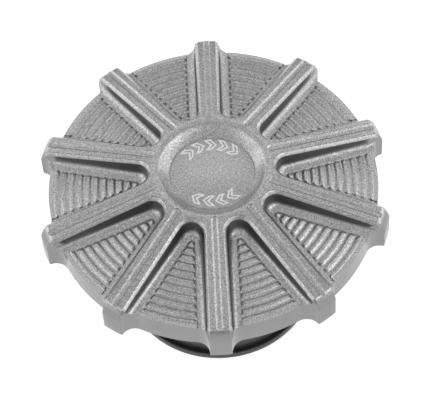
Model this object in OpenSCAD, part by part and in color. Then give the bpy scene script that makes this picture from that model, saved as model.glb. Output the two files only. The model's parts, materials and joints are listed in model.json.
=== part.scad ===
// Screw-in tank cap: a ribbed aluminium cover that drives a threaded plug through a face ratchet.
// The plug holds a pressure valve, a vacuum valve and a rollover ball. Millimetres, Z up.
// The plug stands on z = 0 and its thread runs round the Z axis.

/* [Cover] */
// Radius over the ends of the grip ribs
lug_r = 45; // [44:0.5:47]
// Radius of the rim between the ribs
rim_r = 41.45; // [41:0.05:42]
// Number of grip ribs
rib_count = 10; // [8:1:12]
// Width of a rib's end outside the rim
rib_w = 5.5; // [5:0.1:6]
// Angle at which a rib's walls spread towards the rim
rib_spread = 0.65; // [0:0.05:1]
// Height of the rim above the bottom of the skirt
rim_h = 7.13; // [7:0.05:7.5]
// Height of the hub above the bottom of the skirt
hub_h = 15.5; // [15:0.1:16]
// Radius of the rounded inner end of a pocket
pocket_end_r = 3.2; // [3:0.1:3.6]
// Rise of a pocket's floor per millimetre towards the hub
floor_slope = 0.12; // [0:0.01:0.15]
// Distance between the rings on a pocket's floor
ring_pitch = 2.1; // [1.8:0.05:2.4]
// Depth of the rings
ring_depth = 0.4; // [0.2:0.05:0.6]
// Radius of the flat disc in the middle of the dish
disc_r = 10.5; // [9:0.25:11]
// Depth of the dish below the top of the hub
dish_depth = 2.66; // [2:0.02:3]

/* [Plug] */
// Depth of the plug below the skirt
plug_depth = 37.5; // [36:0.5:40]
// Crest radius of the plug's thread
thread_r = 28.5; // [28.2:0.1:28.6]
// Pitch of the plug's thread
thread_pitch = 4; // [3.5:0.25:4]
// Outer radius of the barrel below the thread
barrel_r = 24; // [23.5:0.25:24.5]
// Radius of the rim at the foot of the plug
foot_r = 25; // [24.75:0.05:25.5]
// Height of the rim at the foot of the plug
foot_h = 2.3; // [2:0.1:2.6]

/* [Ratchet] */
// Number of ratchet teeth
teeth = 18; // [15:1:20]
// Height of a ratchet tooth
tooth_h = 1.6; // [1.2:0.1:1.6]

/* [Valves] */
// Radius of the rollover ball
ball_r = 4; // [3.8:0.1:4.1]
// Wire of the pressure spring
pressure_wire = 1.2; // [0.8:0.1:1.4]
// Turns of the pressure spring
pressure_turns = 4.5; // [3.5:0.5:5.5]

/* [Hidden] */
$fn = 96;

gap = 0.3;                          // between parts that move past each other
snug = 0.05;                        // between parts that are fixed to each other
tuck = 0.03;                        // by which an arc and its tangent cross, so that they don't only touch
far = 60;                           // further out than any part
skirt = plug_depth;                 // bottom of the cover's skirt

// Cover, heights above the skirt
shoulder_z = 6.1;                   // where a rib's end starts to curve inward
shoulder_top = [42.8, 9.95];        // where that curve meets the rib's top
shoulder_mid = [44.2, 8.2];
hub_r = 16.2;                       // where the ribs leave the hub
hub_edge_h = hub_h - 0.4;
dish_r = disc_r + dish_depth;       // the dish's flank slopes at 45 degrees
lug_fillet_r = 3.5;
rib_root = 2.57;                    // half width to which a rib's walls run in at the axis
strip_w = 1.2;                      // level strip between a pocket's wall and its rings
pocket_z = rim_h;
floor_turn_r = 40;                  // inside this radius a pocket's floor rises towards the hub
channel_r = 1;                      // round-bottomed channel along a rib
channel_depth = 0.35;
bore_r = 36.5;
ceiling_z = 5;
recess_r = 13;
recess_z = 7.5;

// Ring stack inside the skirt, heights above the skirt
clip_z = 0.8;
clip_t = 1.1;
clip_r = 37.5;
lip_r = bore_r - gap;
lip_z = clip_z + clip_t + gap;
lip_top = 4.2;
washer_z = lip_top + gap;

// Ratchet, heights above the skirt
drive_z = 3;                        // underside of the drive ring's plate
teeth_in = 24.5;
teeth_out = 27.5;
mesh_gap = 0.15;                    // along Z, between the two sets of teeth
plate_z = -0.6;
plate_in = 23.5;
plate_out = 29.8;
cup_r = 30.2;
cup_floor = -3;
key_w = 5;
key_out = 31.6;
key_count = 3;

// Plug, heights above the skirt
wall_r = 33;
flange_z = -6;
gasket_t = 2.5;
gasket_in = 28.8;
root_r = thread_r - 2;
thread_top = -10.5;
thread_turns = 3;
barrel_z = -26;                     // where the barrel gets narrower
barrel_in = 21.5;

// Valves, heights above the skirt
stem_r = 15.2;
housing_flange_r = 20.5;
housing_flange_t = 1.8;
housing_top = cup_floor + housing_flange_t;
housing_foot = -26;
valve_bore = 12.6;
seat_z = -20;
seat_t = 2;
seat_hole = 8;
seal_t = 1;
disc_t = 1.6;
pressure_disc_r = 10.6;
pressure_z = seat_z + seal_t;
spring_top = -5.2;
cap_t = 1.6;
tube_r = 5;
tube_in = 3.6;
tube_top = -10;
vacuum_hole = 1.75;
vacuum_stem = 1.1;
vacuum_disc_r = 4.4;
vacuum_seal_t = 0.8;
clip_top = -9.7;
vacuum_wire = 0.5;
cage_roof = -24.5;
cage_roof_t = 1.5;
cage_r = 6.4;
cage_foot = -35.1;
ball_z = -30;
screw_circle = 8;
housing_screw_circle = 18;

// ---- shared shapes ----

module at(z) {
    translate([0, 0, skirt + z]) children();
}

// a ring or disc from z to z + h
module ring(outer, inner, z, h) {
    at(z) difference() {
        cylinder(r = outer, h = h);
        if (inner > 0) translate([0, 0, -1]) cylinder(r = inner, h = h + 2);
    }
}

module around(count, radius, turn = 0) {
    for (i = [0 : count - 1])
        rotate(turn + i * 360 / count) translate([radius, 0, 0]) children();
}

// a screw whose head sits on z and whose shank points along dir (1 up, -1 down)
module screw(z, dir, shank_r, shank_l, head_r, head_h, drive_r) {
    at(z) mirror([0, 0, dir > 0 ? 0 : 1]) {
        cylinder(r = shank_r, h = shank_l, $fn = 48);
        difference() {
            translate([0, 0, -head_h]) cylinder(r = head_r, h = head_h, $fn = 48);
            translate([0, 0, -head_h - 1]) cylinder(r = drive_r, h = 1 + head_h * 0.6, $fn = 6);
        }
    }
}

// a closed or open sweep of a section of [radius, height] points round the axis
module sweep(rows, closed = false) {
    n = len(rows);
    m = len(rows[0]);
    last = closed ? n - 1 : n - 2;
    sides = [
        for (i = [0 : last], j = [0 : m - 1])
            let (a = i * m, b = ((i + 1) % n) * m, k = (j + 1) % m)
                [a + j, b + j, b + k, a + k]
    ];
    ends = closed ? [] : [[for (j = [0 : m - 1]) j], [for (j = [m - 1 : -1 : 0]) (n - 1) * m + j]];
    polyhedron([for (row = rows) for (p = row) p], concat(sides, ends), convexity = 8);
}

function turned(p, a) = [p[0] * cos(a), p[0] * sin(a), p[1]];

// rows of points of a round wire wound into a spring from z = 0 to z = length
function coil_rows(radius, wire, length, turns, steps = 20, sides = 8) = [
    for (i = [0 : turns * steps])
        let (a = i * 360 / steps, z = wire / 2 + (length - wire) * i / (turns * steps))
            [for (j = [0 : sides - 1])
                turned([radius + wire / 2 * cos(-j * 360 / sides), z + wire / 2 * sin(-j * 360 / sides)], a)]
];

// ---- cover ----

// plan of one rib end with the fillets that join it to the rim
module lug_plan() {
    half = rib_w / 2;
    sink = lug_fillet_r - tuck;
    c = [sqrt(pow(rim_r + sink, 2) - pow(half + sink, 2)), half + sink];
    translate([0, -half]) square([far, rib_w]);
    for (side = [0, 1]) mirror([0, side]) difference() {
        polygon([[rim_r - 3, half - 1], [c[0], half - 1], c, c * (rim_r - 1) / norm(c)]);
        translate(c) circle(r = lug_fillet_r);
    }
}

module cover_plan() {
    circle(r = rim_r);
    for (i = [0 : rib_count - 1]) rotate(90 + i * 360 / rib_count) lug_plan();
}

// plan of one pocket: straight walls along two ribs and a round inner end
module pocket_plan(inset) {
    half_turn = 180 / rib_count - rib_spread;
    r = pocket_end_r - inset;
    c = (pocket_end_r + rib_root) / sin(half_turn);
    side = far * [cos(half_turn), sin(half_turn)];
    touch = [c, 0] + (r - tuck) * [-sin(half_turn), cos(half_turn)];
    translate([c, 0]) circle(r = r);
    polygon([touch, touch + side, [touch[0] + side[0], -touch[1] - side[1]], [touch[0], -touch[1]]]);
}

module pockets(inset) {
    for (i = [0 : rib_count - 1]) rotate(90 + (i + 0.5) * 360 / rib_count) pocket_plan(inset);
}

// the turned outside of the cover
module turned_blank() {
    rotate_extrude() polygon([
        [0, 0], [lug_r, 0], [lug_r, shoulder_z], shoulder_mid, shoulder_top,
        [hub_r, hub_edge_h], [dish_r + 1, hub_h], [dish_r, hub_h],
        [disc_r, hub_h - dish_depth], [0, hub_h - dish_depth]
    ]);
}

// the metal that a pocket leaves: a cone that rises towards the hub
module pocket_floor() {
    rotate_extrude() polygon([
        [0, 0], [floor_turn_r, 0], [floor_turn_r, pocket_z], [0, pocket_z + floor_slope * floor_turn_r]
    ]);
}

// what a pocket's rings cut below its floor
module ring_cut() {
    half = ring_pitch / 2 - 0.1;
    fall = floor_slope * half;
    rotate_extrude() for (r = [hub_r + 3.4 : ring_pitch : rim_r - 2])
        translate([r, pocket_z + floor_slope * (floor_turn_r - r)])
            polygon([[-half, 1], [-half, fall], [0, -ring_depth], [half, -fall], [half, 1]]);
}

module rib_channels() {
    fall = hub_edge_h - shoulder_top[1];
    run = shoulder_top[0] - hub_r;
    for (i = [0 : rib_count - 1]) rotate(90 + i * 360 / rib_count)
        translate([hub_r, 0, hub_edge_h]) rotate([0, 90 + atan(fall / run), 0])
            translate([channel_depth - channel_r, 0, -1.5])
                cylinder(r = channel_r, h = far, $fn = 24);
}

module cap_cover() {
    color([0.72, 0.72, 0.73]) at(0) difference() {
        intersection() {
            linear_extrude(hub_h + 1) cover_plan();
            turned_blank();
        }
        difference() {
            translate([0, 0, pocket_z]) linear_extrude(far) pockets(0);
            pocket_floor();
        }
        intersection() {
            translate([0, 0, pocket_z - 1]) linear_extrude(hub_h) pockets(strip_w);
            ring_cut();
        }
        rib_channels();
        translate([0, 0, -1]) cylinder(r = bore_r, h = ceiling_z + 1);
        translate([0, 0, clip_z]) cylinder(r = clip_r + snug, h = clip_t + 0.02);
        cylinder(r = recess_r, h = recess_z);
        around(3, screw_circle) cylinder(r = 1.5 + snug, h = recess_z + 3.2, $fn = 48);
    }
}

// ---- what turns with the cover ----

// ring of sawteeth on z = 0, rooted a little below it: each rises clockwise and drops off
// a steep radial face, which lies trim degrees inside its sector
module sawteeth(trim) {
    mid_r = (teeth_in + teeth_out) / 2;
    half = mid_r * PI / teeth;
    low = 0.92 * half;
    over = 1;
    root = -0.4;
    half_turn = 180 / teeth;
    intersection() {
        for (i = [0 : teeth - 1]) rotate(i * 360 / teeth) intersection() {
            translate([mid_r, 0, 0]) rotate([90, 0, 90]) translate([0, 0, -4]) linear_extrude(8) polygon([
                [low, root], [-half - over, root],
                [-half - over, tooth_h * (low + half + over) / 2 / half], [low, 0]
            ]);
            translate([0, 0, root]) linear_extrude(3 * tooth_h) polygon([
                [0, 0], far * [cos(trim - half_turn), sin(trim - half_turn)],
                far * [cos(half_turn), sin(half_turn)]
            ]);
        }
        translate([0, 0, root]) difference() {
            cylinder(r = teeth_out, h = far);
            translate([0, 0, -1]) cylinder(r = teeth_in, h = far + 2);
        }
    }
}

module drive_ring() {
    color([0.12, 0.12, 0.13]) {
        difference() {
            union() {
                ring(cup_r - gap, 0, drive_z, ceiling_z - drive_z);
                ring(recess_r - snug, 0, ceiling_z, recess_z - ceiling_z);
            }
            at(0) around(3, screw_circle) cylinder(r = 1.6, h = 20, $fn = 48);
        }
        at(drive_z) mirror([0, 0, 1]) mirror([0, 1, 0]) sawteeth(0.8);
    }
}

module drive_screws() {
    color([0.55, 0.55, 0.57]) around(3, screw_circle) screw(drive_z, 1, 1.5, 7.5, 2.7, 1.6, 1.2);
}

module retaining_ring() {
    color([0.35, 0.36, 0.38]) difference() {
        ring(clip_r, wall_r + 0.6, clip_z, clip_t);
        at(clip_z - 1) rotate(18) translate([wall_r - 2, -2.5, 0]) cube([8, 5, 4]);
    }
}

module thrust_washer() {
    color([0.9, 0.9, 0.87]) ring(bore_r - snug, cup_r + gap, washer_z, ceiling_z - washer_z);
}

// ---- plug ----

module thread() {
    steps = 36;
    count = thread_turns * steps;
    fade = 9;
    sweep([
        for (i = [0 : count])
            let (a = -i * 360 / steps, z = -i * thread_pitch / steps,
                 f = max(0.1, min(1, i / fade, (count - i) / fade)),
                 crest = root_r + (thread_r - root_r) * f,
                 section = [[root_r - 0.4, -1.5], [crest, -0.4], [crest, 0.4], [root_r - 0.4, 1.5]])
                [for (p = section) turned(p + [0, z], a)]
    ]);
}

module key_slots() {
    at(plate_z - 2.2) around(key_count, 0, 30) translate([cup_r - 2, -key_w / 2 - gap, 0])
        cube([key_out + gap - cup_r + 2, key_w + 2 * gap, 20]);
}

module neck_body() {
    color([0.09, 0.09, 0.1]) {
        difference() {
            at(0) rotate_extrude() polygon([
                [cup_r, lip_top], [cup_r, cup_floor], [stem_r + 0.2, cup_floor], [stem_r + 0.2, flange_z],
                [barrel_in, flange_z], [barrel_in, foot_h - plug_depth], [barrel_r, foot_h - plug_depth],
                [barrel_r, barrel_z], [root_r, barrel_z + 2.5], [root_r, flange_z], [wall_r, flange_z],
                [wall_r, lip_z], [lip_r, lip_z], [lip_r, lip_top]
            ]);
            key_slots();
            at(cup_floor - 2.7) around(3, housing_screw_circle, 60)
                cylinder(r = 1.25 + snug, h = 4, $fn = 48);
        }
        at(thread_top) thread();
    }
}

module neck_gasket() {
    color([0.05, 0.05, 0.05]) ring(wall_r, gasket_in, flange_z - gasket_t, gasket_t);
}

module bottom_cover() {
    bevel = 0.3;
    color([0.09, 0.09, 0.1]) difference() {
        union() {
            rotate_extrude() polygon([
                [0, 0], [foot_r - bevel, 0], [foot_r, bevel], [foot_r, foot_h - bevel],
                [foot_r - bevel, foot_h], [0, foot_h]
            ]);
            difference() {
                cylinder(r = barrel_in - snug, h = foot_h + 3);
                translate([0, 0, foot_h]) cylinder(r = barrel_in - 1.3, h = 10);
            }
        }
        translate([0, 0, -1]) around(8, 13.5) {
            translate([-4, -1.25, 0]) cube([8, 2.5, 10]);
            for (x = [-4, 4]) translate([x, 0, 0]) cylinder(r = 1.25, h = 10, $fn = 48);
        }
    }
}

// ---- ratchet ----

module ratchet_plate() {
    teeth_z = drive_z - tooth_h - mesh_gap;
    color([0.75, 0.72, 0.66]) {
        ring(plate_out, plate_in, plate_z, teeth_z - plate_z);
        at(plate_z) around(key_count, 0, 30) translate([plate_out - 1, -key_w / 2, 0])
            cube([key_out - plate_out + 1, key_w, teeth_z - plate_z]);
        at(teeth_z) sawteeth(0.4);
    }
}

module ratchet_spring() {
    wide = 2;
    thick = 0.5;
    steps = 72;
    swing = (plate_z - cup_floor - thick) / 2 - 0.02;
    color([0.6, 0.6, 0.62]) at((plate_z + cup_floor) / 2) sweep([
        for (i = [0 : steps - 1])
            let (a = i * 360 / steps, z = swing * sin(3 * a), r = (plate_in + plate_out) / 2)
                [for (p = [[-wide, -thick / 2], [-wide, thick / 2], [wide, thick / 2], [wide, -thick / 2]])
                    turned(p + [r, z], a)]
    ], closed = true);
}

// ---- valves ----

module valve_housing() {
    groove_z = -5.4;
    color([0.16, 0.16, 0.17]) difference() {
        union() {
            ring(housing_flange_r, 0, cup_floor, housing_flange_t);
            ring(stem_r, 0, housing_foot, cup_floor - housing_foot);
        }
        ring(valve_bore, 0, seat_z, 40);
        ring(seat_hole, 0, housing_foot - 1, 40);
        ring(valve_bore, 0, housing_foot - 1, seat_z - seat_t - housing_foot + 1);
        ring(stem_r + 1, stem_r - 1.6, groove_z, 1.6);
        at(-10) around(3, housing_screw_circle, 60) cylinder(r = 1.35, h = 20, $fn = 48);
    }
}

module housing_o_ring() {
    color([0.05, 0.05, 0.05]) at(-4.6) rotate_extrude()
        translate([stem_r - 0.7, 0]) circle(r = 0.75, $fn = 32);
}

module housing_screws() {
    color([0.6, 0.6, 0.62]) around(3, housing_screw_circle, 60)
        screw(housing_top, -1, 1.25, 4.2, 2.1, 1.3, 0.9);
}

module spring_cap() {
    color([0.62, 0.62, 0.64]) ring(valve_bore - snug, 4, spring_top, cap_t);
}

module vent_filter() {
    filter_z = spring_top + cap_t;
    color([0.62, 0.5, 0.32]) ring(valve_bore - 0.1, 0, filter_z, housing_top - filter_z);
}

module pressure_valve() {
    color([0.78, 0.66, 0.36]) {
        ring(pressure_disc_r, vacuum_hole, pressure_z, disc_t);
        ring(tube_r, tube_in, pressure_z + disc_t, tube_top - pressure_z - disc_t);
    }
}

module pressure_seal() {
    color([0.06, 0.06, 0.06]) ring(pressure_disc_r - 0.4, seat_hole + 0.2, seat_z + 0.02, seal_t - 0.02);
}

module pressure_spring() {
    foot = pressure_z + disc_t;
    color([0.66, 0.66, 0.68]) at(foot + 0.02)
        sweep(coil_rows(7.4, pressure_wire, spring_top - foot - 0.04, pressure_turns));
}

module vacuum_valve() {
    disc_z = pressure_z - vacuum_seal_t - 1.2;
    color([0.78, 0.66, 0.36]) {
        ring(vacuum_disc_r, 0, disc_z, 1.2);
        ring(vacuum_stem, 0, disc_z + 1, clip_top + 0.4 - disc_z - 1);
    }
}

module vacuum_seal() {
    color([0.06, 0.06, 0.06]) ring(4.1, 2.2, pressure_z - vacuum_seal_t, vacuum_seal_t - 0.02);
}

module vacuum_clip() {
    color([0.6, 0.6, 0.62]) difference() {
        ring(3, vacuum_stem + 0.02, clip_top - 1, 1);
        at(clip_top - 2) translate([0, -0.6, 0]) cube([5, 1.2, 4]);
    }
}

module vacuum_spring() {
    foot = pressure_z + disc_t;
    color([0.66, 0.66, 0.68]) at(foot + 0.02)
        sweep(coil_rows(2.3, vacuum_wire, clip_top - 1 - foot - 0.04, 6));
}

module ball_cage() {
    color([0.85, 0.85, 0.82]) difference() {
        union() {
            ring(valve_bore - snug, 0, cage_roof, cage_roof_t);
            ring(cage_r, 0, cage_foot, cage_roof - cage_foot);
        }
        ring(ball_r + 0.4, 0, cage_foot + 1, cage_roof - cage_foot - 1);
        ring(2.6, 0, cage_foot - 1, 20);
        at(ball_z - 3) around(4, 0) translate([3, -1.25, 0]) cube([6, 2.5, 7]);
    }
}

module rollover_ball() {
    color([0.8, 0.8, 0.82]) at(ball_z) sphere(r = ball_r);
}

cap_cover();
drive_ring();
drive_screws();
retaining_ring();
thrust_washer();
neck_body();
neck_gasket();
ratchet_plate();
ratchet_spring();
valve_housing();
housing_o_ring();
housing_screws();
vent_filter();
spring_cap();
pressure_valve();
pressure_seal();
pressure_spring();
vacuum_valve();
vacuum_seal();
vacuum_spring();
vacuum_clip();
ball_cage();
rollover_ball();
bottom_cover();
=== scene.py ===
"""Looks for the screw-in tank cap: a bead-blasted billet cover over a black threaded plug."""

import json
import math

import bmesh
import bpy
import numpy as np
from mathutils import Matrix, Vector


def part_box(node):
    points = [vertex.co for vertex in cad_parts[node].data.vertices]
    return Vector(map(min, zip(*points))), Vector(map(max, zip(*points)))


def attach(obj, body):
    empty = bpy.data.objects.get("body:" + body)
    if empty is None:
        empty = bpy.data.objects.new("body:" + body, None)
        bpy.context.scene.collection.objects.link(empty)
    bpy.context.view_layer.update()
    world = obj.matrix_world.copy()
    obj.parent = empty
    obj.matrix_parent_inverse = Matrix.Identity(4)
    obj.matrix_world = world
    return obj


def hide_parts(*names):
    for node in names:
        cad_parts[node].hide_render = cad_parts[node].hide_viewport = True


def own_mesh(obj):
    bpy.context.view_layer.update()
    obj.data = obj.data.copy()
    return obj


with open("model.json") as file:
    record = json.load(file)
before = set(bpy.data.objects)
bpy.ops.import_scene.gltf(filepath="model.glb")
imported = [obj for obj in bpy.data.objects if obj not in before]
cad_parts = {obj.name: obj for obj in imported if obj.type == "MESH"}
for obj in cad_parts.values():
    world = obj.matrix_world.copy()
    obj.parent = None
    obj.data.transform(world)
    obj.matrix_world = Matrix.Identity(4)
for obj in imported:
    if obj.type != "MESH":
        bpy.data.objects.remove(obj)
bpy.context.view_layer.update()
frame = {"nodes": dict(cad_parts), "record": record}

MM = 0.001
TAU = 2 * math.pi
RIBS = 10
SECTOR = TAU / RIBS

cover_low, cover_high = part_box("cap_cover")
foot_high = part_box("bottom_cover")[1]
SKIRT = cover_low.z / MM            # height of the skirt's bottom edge
LUG_R = cover_high.y / MM           # radius over the rib ends
HUB_H = (cover_high.z - cover_low.z) / MM
FOOT_R = foot_high.x / MM

# ---- cover sizes in millimetres, heights above the skirt's bottom edge ----
RIM_R = 41.45
RIM_H = 7.13
SHOULDER_H = 6.3                    # where a rib's end starts to curve inward
SHOULDER_R, SHOULDER_TOP = 42.8, 9.95
SHOULDER_BULGE = 0.72
HUB_R, HUB_EDGE_H = 16.2, HUB_H - 0.4
TOP_SLOPE = (HUB_EDGE_H - SHOULDER_TOP) / (SHOULDER_R - HUB_R)
DISH_FLOOR = HUB_H - 2.66
DISH_ROLL = 2.6                     # the dish's flank rolls over into the hub's top
DISC_R = 10.5
MOAT_WIDTH, MOAT_DEPTH = 0.42, 0.16  # groove round the disc
LUG_HALF = 2.75
LUG_FILLET = 3.5
LUG_CORNER = 0.3
SKIRT_BEVEL = 0.22
BORE_R, CEILING_H = 36.5, 5.0
BORE_BEVEL = 0.25
CLIP_LOW, CLIP_HIGH, CLIP_R = 0.8, 1.92, 37.55
RECESS_R, RECESS_H = 13.0, 7.5
SCREW_HOLE_R, SCREW_CIRCLE, SCREW_DEPTH = 1.55, 8, 3.2

# ---- plug sizes; FOOT_TOP is a height above the floor ----
THREAD_ROOT_R = 26.5
FOOT_TOP = 2.3

# ---- pockets ----
SPREAD = math.radians(0.65)         # the walls of a rib are not quite parallel
WALL_ROOT = 2.57                    # half width to which they run in at the axis
POCKET_R = 3.2                      # inner end
EDGE_BREAK = 0.75                   # chamfer along the top of the walls
EDGE_DEPTH = EDGE_BREAK * 0.95
EDGE_STEP = 0.13                    # small step that runs along the chamfer's outer side
EDGE_NICK, EDGE_NICK_DEPTH = 0.07, 0.12  # the chamfer's lower edge is broken too
STRIP, STRIP_RISE = 2.3, 2.2        # width and height of the fillet at the foot of the walls
STRIP_LIFT = 0.18                   # its foot lies above the troughs by this
TROUGH = 0.16                       # from the fillet's foot to the floor's edge
RIDGE_PITCH, RIDGE_RISE = 2.07, 0.52
RIDGE_SHARPNESS = 1.7
RIDGE_FADE = 0.65                   # the ridges die out over this width beside the fillet
LAST_RIDGE_R = 39.8
LAST_NOTCH = 0.16                   # depth and half width of a line one pitch inside the last ridge
RIM_STEP_GAP, RIM_STEP = 0.12, 0.5  # beyond the last ridge, the floor steps to the rim's height
CREST_H = 7.42                      # height of the outermost ridge
FLOOR_SLOPE = 0.12                  # the floor rises towards the hub


# ---------------------------------------------------------------- mesh tools


def mesh_object(name, points, faces):
    """A mesh object from points in millimetres."""
    data = bpy.data.meshes.new(name)
    data.from_pydata([Vector(p) * MM for p in points], [], faces)
    data.validate()
    data.update()
    obj = bpy.data.objects.new(name, data)
    bpy.context.scene.collection.objects.link(obj)
    return obj


def tidy_normals(obj):
    """Faces of a closed surface made to face outwards."""
    mesh = bmesh.new()
    mesh.from_mesh(obj.data)
    bmesh.ops.recalc_face_normals(mesh, faces=mesh.faces)
    mesh.to_mesh(obj.data)
    mesh.free()


def loft(name, rings, loop=False):
    """Closed surface through rings of equally many points, capped at its ends or closed into a loop."""
    count = len(rings[0])
    points = [p for ring in rings for p in ring]
    rows = len(rings)
    faces = []
    for i in range(rows if loop else rows - 1):
        a, b = i * count, (i + 1) % rows * count
        faces += [(a + j, a + (j + 1) % count, b + (j + 1) % count, b + j) for j in range(count)]
    if not loop:
        faces += [tuple(range(count)), tuple(range((rows - 1) * count, rows * count))]
    obj = mesh_object(name, points, faces)
    tidy_normals(obj)
    return obj


def revolve(name, outline, steps):
    """A closed outline of (radius, height) turned round the axis. It may start and end on the axis."""
    on_axis = outline[0][0] < 1e-6 and outline[-1][0] < 1e-6
    body = outline[1:-1] if on_axis else outline
    count = len(body)
    points = []
    for i in range(steps):
        a = TAU * i / steps
        points += [(r * math.cos(a), r * math.sin(a), z) for r, z in body]
    faces = []
    for i in range(steps):
        a, b = i * count, (i + 1) % steps * count
        faces += [(a + j, b + j, b + j + 1, a + j + 1) for j in range(count - 1)]
        if not on_axis:
            faces.append((a + count - 1, b + count - 1, b, a))
    if on_axis:
        low, high = len(points), len(points) + 1
        points += [(0, 0, outline[0][1]), (0, 0, outline[-1][1])]
        for i in range(steps):
            a, b = i * count, (i + 1) % steps * count
            faces += [(low, b, a), (high, a + count - 1, b + count - 1)]
    obj = mesh_object(name, points, faces)
    tidy_normals(obj)
    return obj


def boolean(obj, cutters, operation="DIFFERENCE"):
    """Takes the cutters away from obj, or intersects or adds them, and removes them."""
    for cutter in cutters:
        step = obj.modifiers.new("cut", "BOOLEAN")
        step.solver = "MANIFOLD"
        step.operation = operation
        step.object = cutter
    bpy.context.view_layer.update()
    made = bpy.data.meshes.new_from_object(obj.evaluated_get(bpy.context.evaluated_depsgraph_get()))
    obj.modifiers.clear()
    old = obj.data
    obj.data = made
    bpy.data.meshes.remove(old)
    for cutter in cutters:
        bpy.data.objects.remove(cutter)


def join(name, objects):
    """One mesh object holding all the given ones, which are removed."""
    mesh = bmesh.new()
    for obj in objects:
        obj.data.transform(obj.matrix_world)
        mesh.from_mesh(obj.data)
        bpy.data.objects.remove(obj)
    data = bpy.data.meshes.new(name)
    mesh.to_mesh(data)
    mesh.free()
    obj = bpy.data.objects.new(name, data)
    bpy.context.scene.collection.objects.link(obj)
    return obj


def around(obj, count, turn):
    """Copies of obj spaced evenly round the Z axis, the first one turned by turn. obj is removed."""
    made = []
    for i in range(count):
        copy = obj.copy()
        copy.data = obj.data.copy()
        copy.matrix_world = Matrix.Rotation(turn + TAU * i / count, 4, "Z")
        bpy.context.scene.collection.objects.link(copy)
        made.append(copy)
    bpy.data.objects.remove(obj)
    bpy.context.view_layer.update()
    return made


def smooth(obj, angle=30):
    """Smooth shading with edges sharper than angle kept crisp."""
    obj.data.shade_smooth()
    mesh = bmesh.new()
    mesh.from_mesh(obj.data)
    limit = math.radians(angle)
    for edge in mesh.edges:
        edge.smooth = len(edge.link_faces) == 2 and edge.calc_face_angle(0) < limit
    mesh.to_mesh(obj.data)
    mesh.free()


def arc(centre, radius, start, end, steps):
    """Points along an arc, angles in degrees."""
    points = []
    for i in range(steps + 1):
        a = math.radians(start + (end - start) * i / steps)
        points.append((centre[0] + radius * math.cos(a), centre[1] + radius * math.sin(a)))
    return points


# ---------------------------------------------------------------- cover


def top_line(x):
    """Height of the straight line from the shoulder up to the hub, at distance x from the axis."""
    return SHOULDER_TOP + TOP_SLOPE * (SHOULDER_R - x)


def top_height(r):
    """Height of the turned top of the cover at radius r."""
    if r <= SHOULDER_R:
        return min(HUB_H, top_line(r))
    t = min(1.0, (r - SHOULDER_R) / (LUG_R - SHOULDER_R))
    bulge = 4 * SHOULDER_BULGE * t * (1 - t)
    return SHOULDER_TOP + (SHOULDER_H - SHOULDER_TOP) * t + bulge


def cover_blank():
    """The turned blank, with the bore, the ring groove and the dish."""
    shoulder = []
    steps = 12
    for i in range(steps + 1):
        r = SHOULDER_R + (LUG_R - SHOULDER_R) * i / steps
        shoulder.append((r, top_height(r)))
    flank_foot = (DISC_R + MOAT_WIDTH, DISH_FLOOR - 0.1)
    turn_z = HUB_H - DISH_ROLL * (1 - math.sqrt(0.5))
    turn_r = flank_foot[0] + turn_z - flank_foot[1]
    lip = arc((turn_r + DISH_ROLL * math.sqrt(0.5), HUB_H - DISH_ROLL), DISH_ROLL, 90, 135, 9)
    moat = [
        flank_foot,
        (DISC_R + 0.24, DISH_FLOOR - MOAT_DEPTH),
        (DISC_R, DISH_FLOOR - 0.03),
        (DISC_R - 0.06, DISH_FLOOR),
    ]
    outline = [
        (0, RECESS_H), (RECESS_R, RECESS_H), (RECESS_R, CEILING_H), (BORE_R, CEILING_H),
        (BORE_R, CLIP_HIGH), (CLIP_R, CLIP_HIGH), (CLIP_R, CLIP_LOW), (BORE_R, CLIP_LOW),
        (BORE_R, BORE_BEVEL), (BORE_R + BORE_BEVEL, 0), (LUG_R, 0),
        *reversed(shoulder), (HUB_R + 0.3, top_height(HUB_R + 0.3)), *lip,
        *moat, (0, DISH_FLOOR),
    ]
    outline = [(r, z + SKIRT) for r, z in outline]
    return revolve("cap_cover_metal", outline, 720)


def plan_outline(inset):
    """Plan of the cover: the rim circle with rib ends that meet it in fillets."""
    side = LUG_HALF - inset
    fillet = LUG_FILLET + inset
    rim = RIM_R - inset
    reach = LUG_R - 0.01 - inset
    centre_y = side + fillet
    centre_x = math.sqrt((rim + fillet) ** 2 - centre_y**2)
    rim_angle = math.degrees(math.atan2(centre_y, centre_x))
    corner_x = reach - LUG_CORNER - side * side / 2 / reach  # the rib's end is a little crowned
    half = [(reach, 0.0), (reach, (side - LUG_CORNER) / 2)]
    half += arc((corner_x, side - LUG_CORNER), LUG_CORNER, 0, 90, 4)
    half += arc((centre_x, centre_y), fillet, 270, 180 + rim_angle, 12)
    last = math.degrees(SECTOR) / 2
    half += arc((0, 0), rim, rim_angle, last, 24)[1:]
    points = []
    for i in range(RIBS):
        turn = math.pi / 2 + i * SECTOR
        c, s = math.cos(turn), math.sin(turn)
        sector = [(x, -y) for x, y in reversed(half[1:])] + half[:-1]
        points += [(x * c - y * s, x * s + y * c) for x, y in sector]
    return points


def plan_prism():
    """The plan as a tall prism, bevelled along the skirt's bottom edge."""
    rings = []
    for inset, z in ((SKIRT_BEVEL, -0.001), (0.0, SKIRT_BEVEL), (0.0, HUB_H + 2)):
        rings.append([(x, y, z + SKIRT) for x, y in plan_outline(inset)])
    return loft("plan", rings)


def crest_height(r):
    """Height of the cone that the ridges' crests touch."""
    return CREST_H + max(0.0, LAST_RIDGE_R - r) * FLOOR_SLOPE


def trough_height(r):
    """Height of the cone that the troughs between the ridges touch."""
    return crest_height(r) - RIDGE_RISE


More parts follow.
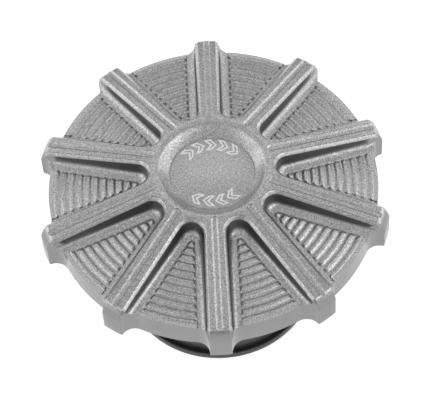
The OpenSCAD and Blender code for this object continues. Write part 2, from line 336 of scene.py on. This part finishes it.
def ridge_height(r):
    """Height of a pocket's floor at radius r: concentric scallops whose crests rise towards the hub."""
    crest = crest_height(r)
    if r > LAST_RIDGE_R:
        step = min(1.0, max(0.0, (r - LAST_RIDGE_R - RIM_STEP_GAP) / RIM_STEP))
        blend = step * step * (3 - 2 * step)
        return crest + (RIM_H - crest) * blend
    u = ((LAST_RIDGE_R - r) / RIDGE_PITCH) % 1.0
    wave = abs(math.cos(math.pi * u)) ** RIDGE_SHARPNESS
    notch = LAST_NOTCH * max(0.0, 1 - abs(r - LAST_RIDGE_R + RIDGE_PITCH) / LAST_NOTCH)
    return crest - RIDGE_RISE * (1 - wave) - notch


def strip_foot(r):
    """Height of the fillet's foot at radius r. It sinks a little beyond the last ridge."""
    depth, width = 0.2, 1.2
    sunk = min(1.0, max(0.0, (r - LAST_RIDGE_R) / width))
    return trough_height(r) + STRIP_LIFT - depth * sunk


def strip_rise(r):
    """Height of the fillet at radius r, less where the wall itself is low."""
    least, share_of_wall = 0.05, 0.8
    wall_top = top_height(r) - EDGE_DEPTH - EDGE_NICK_DEPTH
    return min(STRIP_RISE, max(least, share_of_wall * (wall_top - strip_foot(r))))


class Pocket:
    """Plan of the pocket that lies along +X: two straight walls that meet in a round inner end."""

    half = SECTOR / 2 - SPREAD
    along = (math.cos(half), math.sin(half))
    normal = (-math.sin(half), math.cos(half))
    wall_offset = POCKET_R + WALL_ROOT
    centre = wall_offset / math.sin(half)  # of the round end
    far = 48.0                             # the walls run on past the rib ends
    arc_steps = 14

    def wall_stops(self):
        """Distances along a wall at which the edge has a point, one for each row of the floor."""
        nearest = math.hypot(self.centre + POCKET_R * self.normal[0], POCKET_R * self.normal[1]) + 0.2
        finer = RIM_R - 4.0
        radii = [*np.arange(nearest, finer, 0.15), *np.arange(finer, LUG_R + 0.4, 0.1)]
        start = self.centre * math.cos(self.half)
        stops = [math.sqrt(r * r - self.wall_offset**2) - start for r in radii]
        return [stop for stop in stops if stop > 0.05] + [self.far - start]

    def edge(self, inset):
        """Half of the pocket's edge, from the tip of the round end outwards."""
        radius = POCKET_R - inset
        points = []
        for i in range(self.arc_steps + 1):
            a = math.pi - (math.pi / 2 - self.half) * i / self.arc_steps
            points.append((self.centre + radius * math.cos(a), radius * math.sin(a)))
        x0, y0 = self.centre + radius * self.normal[0], radius * self.normal[1]
        points += [(x0 + self.along[0] * s, y0 + self.along[1] * s) for s in self.wall_stops()]
        return points

    def ring(self, inset, height):
        """Both halves of the edge at that inset, where height gives the height at a radius."""
        half = [(x, y, height(math.hypot(x, y))) for x, y in self.edge(inset)]
        return [(x, -y, z) for x, y, z in reversed(half[1:])] + half

    def from_floor_edge(self, x, y):
        """How far a point lies inside the floor's edge."""
        beside = (x - self.centre) * self.along[0] + abs(y) * self.along[1] >= 0
        if beside:
            offset = abs(y) * self.along[0] - (x - self.centre) * self.along[1]
        else:
            offset = math.hypot(x - self.centre, y)
        return POCKET_R - STRIP - TROUGH - offset

    def floor_height(self, x, y):
        """Height of the ridged floor, which fades into a plain cone beside the fillet."""
        r = math.hypot(x, y)
        if r > LAST_RIDGE_R:
            return ridge_height(r)
        share = min(1.0, max(0.0, self.from_floor_edge(x, y) / RIDGE_FADE))
        fade = math.sin(math.pi / 2 * share)
        return trough_height(r) + (ridge_height(r) - trough_height(r)) * fade


def pocket_rings(pocket):
    """Rings down the pocket's wall: over the top, edge break, nick, and the fillet to the floor."""
    fillet_steps = 6

    def edge_top(offset):
        return lambda r: top_height(r) + offset

    def fillet(share):
        return lambda r: strip_foot(r) + share * strip_rise(r)

    rings = [
        pocket.ring(-EDGE_BREAK - 0.03, edge_top(0.5)),
        pocket.ring(-EDGE_BREAK, edge_top(-EDGE_STEP)),
        pocket.ring(-EDGE_NICK, edge_top(-EDGE_DEPTH)),
        pocket.ring(0.0, edge_top(-EDGE_DEPTH - EDGE_NICK_DEPTH)),
    ]
    for i in range(fillet_steps + 1):
        a = math.pi / 2 * i / fillet_steps
        rings.append(pocket.ring(STRIP * (1 - math.cos(a)), fillet(1 - math.sin(a))))
    return rings


def floor_rows(pocket, across):
    """The floor's point at the tip, and its rows of points, each along an arc round the axis."""
    tip, *side = pocket.edge(STRIP + TROUGH)
    rows = []
    for x, y in side:
        r, limit = math.hypot(x, y), math.atan2(y, x)
        row = []
        for j in range(across + 1):
            a = limit * (2 * j / across - 1)
            px, py = r * math.cos(a), r * math.sin(a)
            row.append((px, py, pocket.floor_height(px, py)))
        rows.append(row)
    return (tip[0], 0.0, trough_height(tip[0])), rows


def strip_faces(first, second):
    """Faces between two open rows of point numbers."""
    return list(zip(first, first[1:], second[1:], second))


def pocket_cutter():
    """The solid that a pocket takes away, lying along +X."""
    pocket = Pocket()
    across = 40
    rings = pocket_rings(pocket)
    tip_point, rows = floor_rows(pocket, across)
    lid_height = HUB_H + 3
    count = len(rings[0])
    width = across + 1

    points = [p for ring in rings for p in ring]
    walls = [range(i * count, (i + 1) * count) for i in range(len(rings))]
    tip = len(points)
    points.append(tip_point)
    floor = [range(tip + 1 + i * width, tip + 1 + (i + 1) * width) for i in range(len(rows))]
    points += [p for row in rows for p in row]
    lid = range(len(points), len(points) + count)
    points += [(x, y, lid_height) for x, y, _ in rings[0]]

    floor_edge = [row[0] for row in reversed(floor)] + [tip] + [row[-1] for row in floor]
    faces = []
    for upper, lower in zip(walls, walls[1:]):
        faces += strip_faces(upper, lower)
    faces += [(tip, floor[0][j + 1], floor[0][j]) for j in range(across)]
    for inner, outer in zip(floor, floor[1:]):
        faces += strip_faces(inner, outer)
    faces += strip_faces(walls[-1], floor_edge)
    one_side = [wall[0] for wall in walls] + [floor_edge[0]]
    other_side = [wall[-1] for wall in walls] + [floor_edge[-1]]
    faces.append(tuple(one_side + list(floor[-1][1:-1]) + other_side[::-1]))
    faces += strip_faces(lid, walls[0])
    faces.append((lid[0], walls[0][0], walls[0][-1], lid[-1]))
    faces.append(tuple(lid))
    obj = mesh_object("pocket", [(x, y, z + SKIRT) for x, y, z in points], faces)
    tidy_normals(obj)
    return obj


def channel_cutter():
    """A shallow round-bottomed channel along a rib, with a round inner end."""
    depth, half_top, half_bottom = 0.38, 0.92, 0.4
    start, end_length, end_steps = 14.6, 1.0, 5
    section = [
        (-half_top - 0.5, 0.6),
        (-half_top, 0.02),
        (-half_top + 0.1, -0.06),
        (-half_bottom - 0.12, -depth + 0.1),
        (-half_bottom, -depth + 0.02),
        (0, -depth),
    ]
    section += [(-s, z) for s, z in reversed(section[:-1])]
    stations = []
    for i in range(end_steps + 1):
        a = math.pi / 2 * i / end_steps
        stations.append((start + end_length * (1 - math.cos(a)), max(0.08, math.sin(a))))
    stations += [(x, 1.0) for x in (20, 30, 40, LUG_R + 2)]
    rings = []
    for x, share in stations:
        line = top_line(x) + SKIRT
        rings.append([(x, s * share, line + (z if z > 0 else z * share)) for s, z in section])
    return loft("channel", rings)


def screw_holes(radius, low, high, circle, first_turn):
    """Cutters for three screw holes on a circle."""
    return [pin_cutter(radius, low, high, circle, first_turn + 120 * k) for k in range(3)]


def build_cover():
    """The metal cover, cut from its turned blank like the real one."""
    cover = cover_blank()
    boolean(cover, [plan_prism()], "INTERSECT")
    pockets = around(pocket_cutter(), RIBS, math.pi / 2 + SECTOR / 2)
    boolean(cover, pockets)
    channels = around(channel_cutter(), RIBS, math.pi / 2)
    boolean(cover, channels)
    boolean(cover, screw_holes(SCREW_HOLE_R, RECESS_H - 0.5, RECESS_H + SCREW_DEPTH, SCREW_CIRCLE, 90))
    smooth(cover, 28)
    return cover


# ---------------------------------------------------------------- direction marks


def ribbon(name, outline, width, low, high):
    """A closed wall of that width along a closed outline in plan, from low to high."""
    count = len(outline)
    foot = low + 0.06
    shapes = []
    for side in (-0.5, 0.5):
        ring = []
        for i in range(count):
            before, here, after = (Vector(outline[k % count]) for k in (i - 1, i, i + 1))
            a, b = (here - before).normalized(), (after - here).normalized()
            bisector = Vector((a.y + b.y, -a.x - b.x)).normalized()
            reach = side * width / max(0.4, bisector.dot(Vector((a.y, -a.x))))
            ring.append(here + bisector * reach)
        shapes.append(ring)
    inner, outer = shapes
    rings = []
    for share, z in ((0, low), (0, foot), (0.2, high), (0.8, high), (1, foot), (1, low)):
        ring = [p.lerp(q, share) for p, q in zip(inner, outer)]
        rings.append([(p.x, p.y, z + SKIRT) for p in ring])
    return loft(name, rings, loop=True)


def chevron(radius, turn, size, arm):
    """Outline of a chevron that points clockwise, at that place on the disc."""
    half = size / 2
    tall = size * 0.56
    shape = [
        (-half, -tall), (-half + arm, -tall), (half, 0),
        (-half + arm, tall), (-half, tall), (half - arm, 0),
    ]
    out = []
    for x, y in shape:
        r = radius + y
        a = turn - x / radius
        out.append((r * math.cos(a), r * math.sin(a)))
    return out


def direction_marks():
    """Two arcs of raised outlined chevrons on the disc, which show the way the cap closes."""
    spacing, line_width, line_height = 21, 0.42, 0.12
    marks = []
    for middle, count in ((90, 5), (272, 4)):
        for i in range(count):
            turn = math.radians(middle + (i - (count - 1) / 2) * spacing)
            outline = chevron(radius=8.4, turn=turn, size=2.5, arm=1.15)
            marks.append(ribbon("mark", outline, line_width, DISH_FLOOR - 0.05, DISH_FLOOR + line_height))
    return join("direction_marks", marks)


# ---------------------------------------------------------------- plug


def rounded(points, corners, steps=4):
    """An outline with some corners rounded off: corners gives a size for a point's number."""
    out = []
    count = len(points)
    for i, point in enumerate(points):
        size = corners.get(i, 0)
        if not size:
            out.append(tuple(point))
            continue
        here = Vector(point)
        before = (Vector(points[i - 1]) - here).normalized()
        after = (Vector(points[(i + 1) % count]) - here).normalized()
        for k in range(steps + 1):
            t = k / steps
            a, b = here + before * size, here + after * size
            out.append(tuple(a.lerp(here, t).lerp(here.lerp(b, t), t)))
    return out


def box_cutter(low, high, turn):
    """A box between two corners, turned round the Z axis by degrees."""
    xs, ys, zs = ((low[k], high[k]) for k in range(3))
    points = [(x, y, z + SKIRT) for x in xs for y in ys for z in zs]
    faces = [(0, 1, 3, 2), (4, 6, 7, 5), (0, 4, 5, 1), (2, 3, 7, 6), (0, 2, 6, 4), (1, 5, 7, 3)]
    obj = mesh_object("box", points, faces)
    obj.data.transform(Matrix.Rotation(math.radians(turn), 4, "Z"))
    tidy_normals(obj)
    return obj


def pin_cutter(radius, low, high, circle, turn):
    """An upright pin on a circle round the Z axis."""
    c, s = circle * math.cos(math.radians(turn)), circle * math.sin(math.radians(turn))
    rings = []
    for z in (low, high):
        rings.append([(c + x, s + y, z + SKIRT) for x, y in arc((0, 0), radius, 0, 350, 35)])
    return loft("pin", rings)


def upright(section, r, a, z):
    """A section of (outward, up) points, stood up at radius r, angle a and height z."""
    return [((r + dr) * math.cos(a), (r + dr) * math.sin(a), z + dz) for dr, dz in section]


def plug_thread():
    """Three turns of a rounded trapezoid thread that fades out at both ends."""
    height, pitch, turns, top = 2.0, 4.0, 3, -10.5
    per_turn, fade_steps = 120, 30
    last = turns * per_turn
    rings = []
    for i in range(last + 1):
        fade = min(1.0, i / fade_steps, (last - i) / fade_steps)
        fade = max(0.08, math.sin(math.pi / 2 * fade))
        crest = height * fade
        lower = [
            (-0.4, -1.5), (0.02, -1.42), (0.2 * fade, -1.22),
            (crest - 0.25 * fade, -0.55), (crest - 0.06, -0.42), (crest, -0.3),
        ]
        section = lower + [(r, -z) for r, z in reversed(lower)]
        turned = i / per_turn
        rings.append(upright(section, THREAD_ROOT_R, -TAU * turned, top - pitch * turned + SKIRT))
    return loft("thread", rings)


def build_plug():
    """The threaded plug: a lipped cup with keyways for the ratchet plate, over a barrel with the thread."""
    lip_r, lip_low, lip_top = 36.2, 2.2, 4.2
    cup_r, cup_floor, hole_r = 30.2, -3.0, 15.4
    flange_r, flange = 33.0, -6.0
    bore_r, barrel_r, foot = 21.5, 24.0, FOOT_TOP - SKIRT
    taper_low, taper_high = -26.0, -23.5  # the barrel widens to the thread's root
    outline = [
        (cup_r, lip_top), (cup_r, cup_floor), (hole_r, cup_floor), (hole_r, flange),
        (bore_r, flange), (bore_r, foot), (barrel_r, foot), (barrel_r, taper_low),
        (THREAD_ROOT_R, taper_high), (THREAD_ROOT_R, flange), (flange_r, flange), (flange_r, lip_low),
        (lip_r, lip_low), (lip_r, lip_top),
    ]
    corners = {6: 0.15, 7: 0.8, 8: 0.6, 10: 0.35, 12: 0.2, 13: 0.3}
    outline = [(r, z + SKIRT) for r, z in rounded(outline, corners)]
    plug = revolve("plug_body", outline, 360)
    key_half, key_floor, key_r = 2.8, -2.8, 31.9
    low, high = (cup_r - 2, -key_half, key_floor), (key_r, key_half, 20)
    screw_r, screw_depth, screw_circle = 1.3, 2.7, 18
    cutters = [box_cutter(low, high, 30 + 120 * k) for k in range(3)]
    cutters += screw_holes(screw_r, cup_floor - screw_depth, cup_floor + 1.3, screw_circle, 60)
    boolean(plug, cutters)
    boolean(plug, [plug_thread()], "UNION")
    smooth(plug, 32)
    return plug


def build_gasket():
    """The flat rubber ring that seals on the filler neck."""
    low, high, inner, outer = -8.5, -6.0, 28.8, 33.0
    corners = {0: 0.4, 1: 0.45, 2: 0.2, 3: 0.2}
    outline = rounded([(inner, low), (outer, low), (outer, high), (inner, high)], corners)
    gasket = revolve("plug_gasket", [(r, z + SKIRT) for r, z in outline], 240)
    smooth(gasket)
    return gasket


def slot_cutter(turn):
    """A vent slot through the foot, lying along a radius, with a bevelled mouth."""
    reach, half_width, middle = 4.0, 1.25, 13.5
    mouth, top = 0.25, 9.0
    plan = arc((reach, 0), half_width, -90, 90, 12) + arc((-reach, 0), half_width, 90, 270, 12)
    c, s = math.cos(math.radians(turn)), math.sin(math.radians(turn))
    rings = []
    for grow, z in ((mouth, -0.01), (0, mouth), (0, top)):
        scale = grow / half_width
        ring = []
        for x, y in plan:
            side = x - max(-reach, min(reach, x))
            ring.append((middle + x + side * scale, y + y * scale, z))
        rings.append([(x * c - y * s, x * s + y * c, z) for x, y, z in ring])
    return loft("slot", rings)


def build_foot():
    """The plug's foot: a disc with eight vent slots and a spigot that goes up into the barrel."""
    spigot_r, spigot_inner, spigot_top = 21.45, 20.2, 5.3
    outline = [
        (0, 0), (FOOT_R, 0), (FOOT_R, FOOT_TOP), (spigot_r, FOOT_TOP),
        (spigot_r, spigot_top), (spigot_inner, spigot_top), (spigot_inner, FOOT_TOP), (0, FOOT_TOP),
    ]
    outline = rounded(outline, {1: 0.4, 2: 0.35, 4: 0.2})
    foot = revolve("plug_foot", outline, 360)
    boolean(foot, [slot_cutter(45 * k) for k in range(8)])
    smooth(foot)
    return foot


# ---------------------------------------------------------------- springs


def coil_spring(name, radius, wire, low, high, turns):
    """A coil of round wire, where low and high are its outermost heights."""
    per_turn, sides = 48, 14
    last = int(turns * per_turn)
    rise = high - low - wire
    section = arc((0, 0), wire / 2, 0, 360 - 360 / sides, sides - 1)
    rings = []
    for i in range(last + 1):
        z = low + wire / 2 + rise * i / last + SKIRT
        rings.append(upright(section, radius, TAU * i / per_turn, z))
    spring = loft(name, rings)
    smooth(spring, 50)
    return spring


def wave_spring(name, middle, half_width, thick, low, high, waves):
    """A flat ring that swings up and down between low and high as it goes round."""
    steps = 240
    swing = (high - low - thick) / 2 - 0.02
    w, t = half_width, thick / 2
    section = rounded([(-w, -t), (w, -t), (w, t), (-w, t)], {corner: 0.12 for corner in range(4)}, 3)
    rings = []
    for i in range(steps):
        a = TAU * i / steps
        rings.append(upright(section, middle, a, (low + high) / 2 + swing * math.sin(waves * a) + SKIRT))
    spring = loft(name, rings, loop=True)
    smooth(spring, 40)
    return spring


# ---------------------------------------------------------------- materials


class Nodes:
    """Short way to write a node tree."""

    def __init__(self, name):
        self.material = bpy.data.materials.new(name)
        self.material.use_nodes = True
        self.tree = self.material.node_tree
        self.shader = self.tree.nodes["Principled BSDF"]
        self.place = self.tree.nodes.new("ShaderNodeTexCoord").outputs["Object"]

    def add(self, kind):
        return self.tree.nodes.new(kind)

    def link(self, source, target):
        self.tree.links.new(source, target)

    def feed(self, socket, value):
        """Sets a socket to a number or a colour, or links it to another node's output."""
        if isinstance(value, (int, float)):
            socket.default_value = value
        elif isinstance(value, tuple):
            socket.default_value = (*value, 1)
        else:
            self.link(value, socket)

    def noise(self, scale, detail=2.0, roughness=0.5):
        node = self.add("ShaderNodeTexNoise")
        node.inputs["Scale"].default_value = scale
        node.inputs["Detail"].default_value = detail
        node.inputs["Roughness"].default_value = roughness
        self.link(self.place, node.inputs["Vector"])
        return node.outputs["Fac"]

    def ramp(self, source, stops):
        node = self.add("ShaderNodeValToRGB")
        while len(node.color_ramp.elements) < len(stops):
            node.color_ramp.elements.new(0.5)
        for element, (at, value) in zip(node.color_ramp.elements, stops):
            element.position = at
            element.color = (value, value, value, 1)
        self.link(source, node.inputs["Fac"])
        return node.outputs["Color"]

    def math(self, operation, a, b, clamp=False):
        node = self.add("ShaderNodeMath")
        node.operation = operation
        node.use_clamp = clamp
        self.feed(node.inputs[0], a)
        self.feed(node.inputs[1], b)
        return node.outputs[0]

    def mix(self, factor, a, b):
        node = self.add("ShaderNodeMix")
        node.data_type = "RGBA"
        for socket, value in zip((0, 6, 7), (factor, a, b)):  # the RGBA sockets of the node
            self.feed(node.inputs[socket], value)
        return node.outputs[2]

    def pocket_mask(self):
        """1 inside the rim's radius, where the pockets are, and 0 further out."""
        edge, sharpness = (RIM_R - 0.25) * MM, 1200.0
        split = self.add("ShaderNodeSeparateXYZ")
        self.link(self.place, split.inputs[0])
        x, y = split.outputs["X"], split.outputs["Y"]
        square = self.math("ADD", self.math("MULTIPLY", x, x), self.math("MULTIPLY", y, y))
        radius = self.math("POWER", square, 0.5)
        return self.math("MULTIPLY", self.math("SUBTRACT", edge, radius), sharpness, clamp=True)

    def bump(self, height, distance, strength):
        node = self.add("ShaderNodeBump")
        node.inputs["Distance"].default_value = distance
        self.feed(node.inputs["Strength"], strength)
        self.link(height, node.inputs["Height"])
        self.link(node.outputs["Normal"], self.shader.inputs["Normal"])

    def set(self, **values):
        """Feeds the shader's sockets, named with _ for a space."""
        for key, value in values.items():
            self.feed(self.shader.inputs[key.replace("_", " ")], value)


def blasted_aluminium():
    """Bead-blasted metal: sparkling grain on what faces up, smoother on the walls, with painted shade that
    makes the walls darker, and darker still inside the pockets.
    """
    n = Nodes("billet")
    geometry = n.add("ShaderNodeNewGeometry")
    split = n.add("ShaderNodeSeparateXYZ")
    n.link(geometry.outputs["Normal"], split.inputs[0])
    wall_slope, wall_sharpness = 0.45, 4.0
    up = n.math("MULTIPLY", n.math("SUBTRACT", split.outputs["Z"], wall_slope), wall_sharpness, clamp=True)
    grain = n.noise(2600, 3.0, 0.6)
    fine = n.noise(6500, 1.0)
    cloud = n.noise(90, 3.0)
    speck = n.ramp(grain, [(0.34, 0.22), (0.5, 0.51), (0.66, 0.9)])
    tone = n.ramp(cloud, [(0.3, 0.49), (0.7, 0.53)])
    inside = n.pocket_mask()
    # Painted shade: the walls get a darker colour than what faces up, and the pocket walls a darker one
    # still, as if in shade.
    outer_wall_painted_shade = n.ramp(cloud, [(0.3, 0.24), (0.7, 0.27)])
    pocket_wall_painted_shade = n.ramp(cloud, [(0.3, 0.15), (0.7, 0.19)])
    wall_painted_shade = n.mix(inside, outer_wall_painted_shade, pocket_wall_painted_shade)
    n.set(Base_Color=n.mix(up, wall_painted_shade, n.mix(0.6, tone, speck)), Metallic=1.0)
    blasted_rough = n.ramp(fine, [(0.3, 0.24), (0.7, 0.34)])
    outer_rough = n.ramp(fine, [(0.3, 0.20), (0.7, 0.26)])
    pocket_rough = (0.4, 0.4, 0.4)
    n.set(Roughness=n.mix(up, n.mix(inside, outer_rough, pocket_rough), blasted_rough))
    height = n.math("ADD", grain, n.math("MULTIPLY", fine, 0.35))
    strength = n.math("ADD", n.math("MULTIPLY", up, 0.75), 0.08)
    n.bump(height, 0.05 * MM, strength)
    return n.material


def marks_painted_highlight():
    """The marks are painted near white, a painted highlight in place of the shine of their bright-cut
    edges, so they stand out from the blasted disc.
    """
    n = Nodes("marks_painted_highlight")
    fine = n.noise(3000, 2.0)
    n.set(Base_Color=n.mix(fine, (0.93, 0.93, 0.93), (0.98, 0.98, 0.98)), Metallic=0.0, Roughness=0.6)
    return n.material


def moulded(name, colour, rough):
    """Moulded plastic or rubber with a fine mould texture."""
    n = Nodes(name)
    cloud = n.noise(120, 3.0)
    fine = n.noise(2400, 2.0)
    darker = tuple(c * 0.75 for c in colour)
    n.set(Base_Color=n.mix(cloud, darker, colour), Metallic=0.0)
    n.set(Roughness=n.ramp(fine, [(0.3, rough - 0.06), (0.7, rough + 0.08)]))
    n.bump(fine, 0.1 * MM, 0.25)
    return n.material


def metal(name, colour, rough, scale=900):
    """Plain metal, with a finish of that scale."""
    n = Nodes(name)
    cloud = n.noise(150, 3.0)
    fine = n.noise(scale, 3.0, 0.6)
    darker = tuple(c * 0.82 for c in colour)
    n.set(Base_Color=n.mix(cloud, darker, colour), Metallic=1.0)
    n.set(Roughness=n.ramp(fine, [(0.3, max(0.05, rough - 0.1)), (0.7, rough + 0.1)]))
    n.bump(fine, 0.06 * MM, 0.2)
    return n.material


def slot_materials():
    """One finish for each of the record's material slots."""
    return {
        "billet": blasted_aluminium(),
        "black_acetal": moulded("black_acetal", (0.03, 0.03, 0.034), 0.38),
        "steel_screw": metal("steel_screw", (0.5, 0.5, 0.52), 0.3),
        "spring_steel": metal("spring_steel", (0.17, 0.175, 0.19), 0.4),
        "white_ptfe": moulded("white_ptfe", (0.8, 0.8, 0.77), 0.4),
        "black_nylon": moulded("black_nylon", (0.02, 0.02, 0.022), 0.36),
        "black_rubber": moulded("black_rubber", (0.018, 0.018, 0.018), 0.62),
        "acetal_natural": moulded("acetal_natural", (0.7, 0.66, 0.58), 0.42),
        "sintered_bronze": metal("sintered_bronze", (0.42, 0.3, 0.16), 0.6, 4000),
        "turned_brass": metal("turned_brass", (0.72, 0.52, 0.2), 0.25),
        "bright_spring": metal("bright_spring", (0.6, 0.6, 0.62), 0.25),
        "polished_ball": metal("polished_ball", (0.75, 0.75, 0.77), 0.12),
    }


def paint(obj, material):
    obj.data.materials.clear()
    obj.data.materials.append(material)


# ---------------------------------------------------------------- stage


FLOOR_GLOW = 0.76                   # the table is a softly lit white panel
SKY = 0.30
LIGHT_DISTANCE = 1.1
LIGHT_CENTRE = 0.045                # height of the point that the lights look at
LOWEST_LIGHT = 0.19                 # keeps the boxes of the lowest tier off the table
KEY_SIDE = math.radians(324)        # the front right
BACK = math.radians(90)
TIERS = (
    # elevation, boxes, box size, and radiance: everywhere, at the sides, at the key, at the back
    (8, 10, (0.55, 0.35), 0.12, 1.3, 0.0, 0.0),
    (28, 10, (0.55, 0.35), 0.35, 0.85, 0.95, 0.0),
    (52, 6, (0.7, 0.5), 0.3, 0.0, 0.0, 0.35),
    (90, 1, (0.7, 0.7), 0.4, 0.0, 0.0, 0.0),
)


def camera():
    """The camera stands 57 degrees above the horizon, 0.6 m away, with a long lens."""
    elevation = math.radians(57.073)
    turn = math.radians(1.252)
    roll = math.radians(-4.218)
    distance = 0.60195
    turned = Matrix.Rotation(turn, 3, "Z")
    target = turned @ Vector((0.18, 0.162, 0)) * MM
    target.z = SKIRT * MM
    back = turned @ Vector((0, -math.cos(elevation), math.sin(elevation)))
    right = turned @ Vector((1, 0, 0))
    up = back.cross(right)
    rolled_right = math.cos(roll) * right + math.sin(roll) * up
    rolled_up = math.cos(roll) * up - math.sin(roll) * right
    rotation = Matrix((rolled_right, rolled_up, back)).transposed()
    data = bpy.data.cameras.new("camera")
    data.sensor_width = 36
    data.lens = 198.44
    data.clip_start = 0.01
    data.clip_end = 20
    obj = bpy.data.objects.new("camera", data)
    obj.matrix_world = Matrix.Translation(target + back * distance) @ rotation.to_4x4()
    bpy.context.scene.collection.objects.link(obj)
    bpy.context.scene.camera = obj


def softbox(name, spot, size, power):
    """A soft rectangular light at that spot, facing the cap."""
    data = bpy.data.lights.new(name, "AREA")
    data.shape = "RECTANGLE"
    data.size, data.size_y = size
    data.energy = power
    obj = bpy.data.objects.new(name, data)
    obj.location = spot
    aim = Vector((0, 0, LIGHT_CENTRE))
    obj.rotation_euler = (aim - spot).to_track_quat("-Z", "Y").to_euler()
    bpy.context.scene.collection.objects.link(obj)


def towards(azimuth, side, focus):
    """1 for a light on that side, falling to 0 at right angles to it."""
    return max(0.0, math.cos(azimuth - side)) ** focus


def softboxes():
    """Tiers of softboxes round the cap: the two sides are the brightest, with a key at the front right."""
    for elevation, boxes, size, even, sides, key, back in TIERS:
        e = math.radians(elevation)
        for k in range(boxes):
            a = BACK + TAU * k / boxes
            radiance = even + sides * math.cos(a) ** 2
            radiance += key * towards(a, KEY_SIDE, 6) + back * towards(a, BACK, 2)
            power = radiance * math.pi * size[0] * size[1]
            direction = Vector((math.cos(a) * math.cos(e), math.sin(a) * math.cos(e), math.sin(e)))
            spot = direction * LIGHT_DISTANCE
            spot.z = max(spot.z + LIGHT_CENTRE, LOWEST_LIGHT)
            softbox(f"softbox_{elevation}_{k}", spot, size, power)


def pale_floor():
    """A wide white floor that glows a little, so that it comes out plain."""
    reach = 4000
    corners = [(-reach, -reach, 0), (reach, -reach, 0), (reach, reach, 0), (-reach, reach, 0)]
    floor = mesh_object("floor", corners, [(0, 1, 2, 3)])
    n = Nodes("floor")
    n.set(Base_Color=n.mix(n.noise(4, 2.0), (0.58, 0.58, 0.58), (0.6, 0.6, 0.6)), Roughness=0.9)
    n.set(Emission_Color=(1.0, 1.0, 1.0), Emission_Strength=FLOOR_GLOW)
    paint(floor, n.material)


def studio():
    """The floor, an even sky and the softboxes."""
    pale_floor()
    world = bpy.data.worlds.new("studio")
    world.use_nodes = True
    sky = world.node_tree.nodes["Background"]
    sky.inputs["Color"].default_value = (1, 1, 1, 1)
    sky.inputs["Strength"].default_value = SKY
    bpy.context.scene.world = world
    bpy.context.scene.view_settings.view_transform = "Standard"
    softboxes()


# ---------------------------------------------------------------- build

finish_of = slot_materials()
slot_of = {entry["node"]: entry["material_slot"] for entry in frame["record"]["subparts"]}
for node, slot in slot_of.items():
    paint(frame["nodes"][node], finish_of[slot])


def place(obj, body, node):
    """Lets obj stand for a CAD node, move with its body and take its finish."""
    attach(obj, body)
    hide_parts(node)
    paint(obj, finish_of[slot_of[node]])
    return obj


place(build_cover(), "cover", "cap_cover")
marks = direction_marks()
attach(marks, "cover")
# The marks get a painted highlight: a near-white matte colour where their cut edges would shine.
paint(marks, marks_painted_highlight())
place(build_plug(), "neck", "neck_body")
place(build_gasket(), "neck", "neck_gasket")
place(build_foot(), "neck", "bottom_cover")

# Each spring moves with the body of its seat and has a mesh of its own.
pressure_coil = coil_spring("pressure_coil", radius=7.4, wire=1.2, low=-17.38, high=-5.22, turns=4.5)
pressure = place(pressure_coil, "neck", "pressure_spring")
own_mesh(pressure)
vacuum_coil = coil_spring("vacuum_coil", radius=2.3, wire=0.5, low=-17.38, high=-10.72, turns=6)
vacuum = place(vacuum_coil, "pressure", "vacuum_spring")
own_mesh(vacuum)
ratchet_wave = wave_spring(
    "ratchet_wave", middle=26.65, half_width=2.0, thick=0.5, low=-3.0, high=-0.6, waves=3
)
wave = place(ratchet_wave, "neck", "ratchet_spring")
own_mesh(wave)

camera()
studio()
